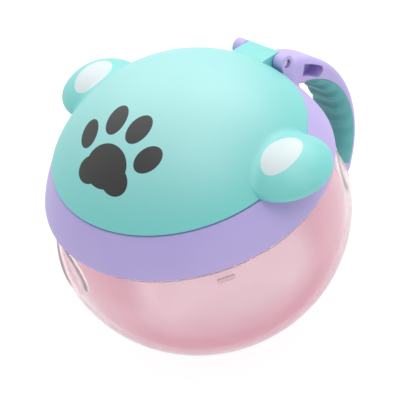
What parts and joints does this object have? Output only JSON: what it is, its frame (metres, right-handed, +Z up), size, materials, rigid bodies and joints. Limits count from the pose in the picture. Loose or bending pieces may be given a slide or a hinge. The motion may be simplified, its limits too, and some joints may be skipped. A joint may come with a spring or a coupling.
{
  "type": "toddler snack container",
  "caption": "Ball-shaped clear snack bowl with a twist-on collar, a soft slit mouth, a hinged dome lid with two round ears, and a curved handle with a soft grip.",
  "frame": {"origin": "centre of the flat base, on the surface it stands on", "axes": "+Z up along the bowl's axis, +Y towards the hinge and the handle, +X towards the ear on the right as seen from the front (the front faces -Y)"},
  "size_m": [0.1156, 0.1306, 0.0995],
  "materials": {
    "clear_pink": "clear, tinted pink, glossy",
    "lilac": "smooth, soft gloss",
    "teal": "smooth, soft gloss",
    "deep_teal": "soft, matte",
    "soft_milky": "soft, milky",
    "milky": "milky, matte",
    "pin_steel": "plain pin steel"
  },
  "bodies": {
    "bowl": {"bowl": "clear_pink"},
    "seal": {"bowl_seal": "soft_milky"},
    "top": {"collar": "lilac", "handle": "lilac", "handle_grip": "deep_teal", "hinge_pin": "pin_steel", "flap_ring": "soft_milky", "flap_retainer": "milky"},
    "lid": {"lid": "teal"},
    "flap_1": {"flap_1": "soft_milky"},
    "flap_2": {"flap_2": "soft_milky"},
    "flap_3": {"flap_3": "soft_milky"},
    "flap_4": {"flap_4": "soft_milky"},
    "flap_5": {"flap_5": "soft_milky"},
    "flap_6": {"flap_6": "soft_milky"}
  },
  "joints": [
    {"name": "twist", "type": "hinge", "parent": "bowl", "child": "seal", "pos_m": [0, 0, 0.07261], "axis": [0, 0, 1], "range_deg": [0, 60]},
    {"name": "collar_lift", "type": "slide", "parent": "seal", "child": "top", "axis": [0, 0, 1], "range_m": [0, 0.004]},
    {"name": "lid_hinge", "type": "hinge", "parent": "top", "child": "lid", "pos_m": [0, 0.0455, 0.07781], "axis": [-1, 0, 0], "range_deg": [0, 115]},
    {"name": "flap_1_bend", "type": "hinge", "parent": "top", "child": "flap_1", "pos_m": [0, 0.02901, 0.06882], "axis": [1, 0, 0], "range_deg": [-18, 75], "stiffness_Nm_per_rad": 0.01},
    {"name": "flap_2_bend", "type": "hinge", "parent": "top", "child": "flap_2", "pos_m": [0.02513, 0.01451, 0.06882], "axis": [0.5, -0.866, 0], "range_deg": [-18, 75], "stiffness_Nm_per_rad": 0.01},
    {"name": "flap_3_bend", "type": "hinge", "parent": "top", "child": "flap_3", "pos_m": [0.02513, -0.01451, 0.06882], "axis": [-0.5, -0.866, 0], "range_deg": [-18, 75], "stiffness_Nm_per_rad": 0.01},
    {"name": "flap_4_bend", "type": "hinge", "parent": "top", "child": "flap_4", "pos_m": [0, -0.02901, 0.06882], "axis": [-1, 0, 0], "range_deg": [-18, 75], "stiffness_Nm_per_rad": 0.01},
    {"name": "flap_5_bend", "type": "hinge", "parent": "top", "child": "flap_5", "pos_m": [-0.02513, -0.01451, 0.06882], "axis": [-0.5, 0.866, 0], "range_deg": [-18, 75], "stiffness_Nm_per_rad": 0.01},
    {"name": "flap_6_bend", "type": "hinge", "parent": "top", "child": "flap_6", "pos_m": [-0.02513, 0.01451, 0.06882], "axis": [0.5, 0.866, 0], "range_deg": [-18, 75], "stiffness_Nm_per_rad": 0.01}
  ],
  "couplings": [
    {"joint": "collar_lift", "follows": "twist", "m_per_rad": 0.003819}
  ]
}
